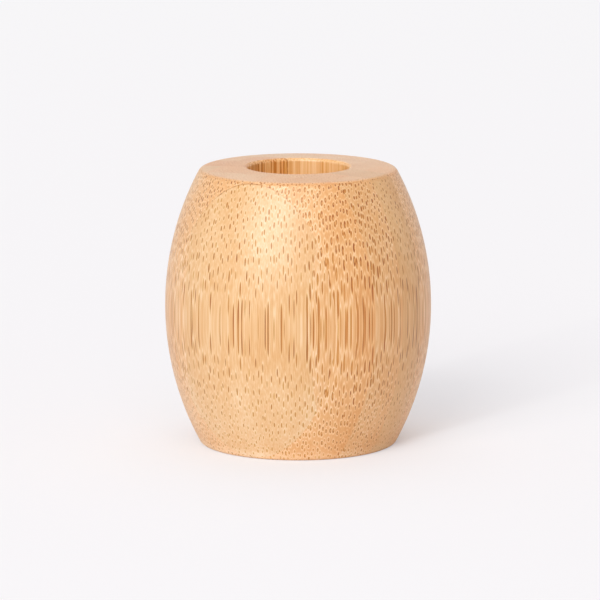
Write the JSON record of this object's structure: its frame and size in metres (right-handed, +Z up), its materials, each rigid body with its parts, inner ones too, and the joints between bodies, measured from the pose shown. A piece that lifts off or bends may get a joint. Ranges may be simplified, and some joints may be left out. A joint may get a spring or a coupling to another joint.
{
  "type": "toothbrush holder",
  "caption": "Small barrel-shaped bamboo stand with a flat base and, in its slightly domed top, a round upright bore that holds one toothbrush.",
  "frame": {"origin": "middle of the flat base, on the axis of the bore, at the height that the stand rests on", "axes": "+Z up along the bore, -Y to the face of the front ply, +X along the plies to the right as seen from the front"},
  "size_m": [0.05, 0.05, 0.0525],
  "materials": {
    "pale_bamboo": "sanded smooth, satin, sparse brown fibre marks",
    "honey_bamboo": "sanded smooth, satin, brown fibre marks",
    "dense_bamboo": "sanded smooth, satin, dense brown fibre marks"
  },
  "bodies": {
    "root": {"ply_1_left_strip": "honey_bamboo", "ply_1_middle_strip": "pale_bamboo", "ply_1_right_strip": "honey_bamboo", "ply_2_left_strip": "honey_bamboo", "ply_2_right_strip": "dense_bamboo", "ply_3_left_strip": "pale_bamboo", "ply_3_middle_strip": "dense_bamboo", "ply_3_right_strip": "honey_bamboo", "ply_4_left_strip": "dense_bamboo", "ply_4_right_strip": "pale_bamboo", "ply_5_left_strip": "honey_bamboo", "ply_5_middle_left_strip": "dense_bamboo", "ply_5_middle_right_strip": "honey_bamboo", "ply_5_right_strip": "dense_bamboo", "ply_6_left_strip": "pale_bamboo", "ply_6_right_strip": "honey_bamboo", "ply_7_left_strip": "honey_bamboo", "ply_7_middle_strip": "dense_bamboo", "ply_7_right_strip": "pale_bamboo", "ply_8_left_strip": "pale_bamboo", "ply_8_right_strip": "honey_bamboo"}
  },
  "joints": []
}
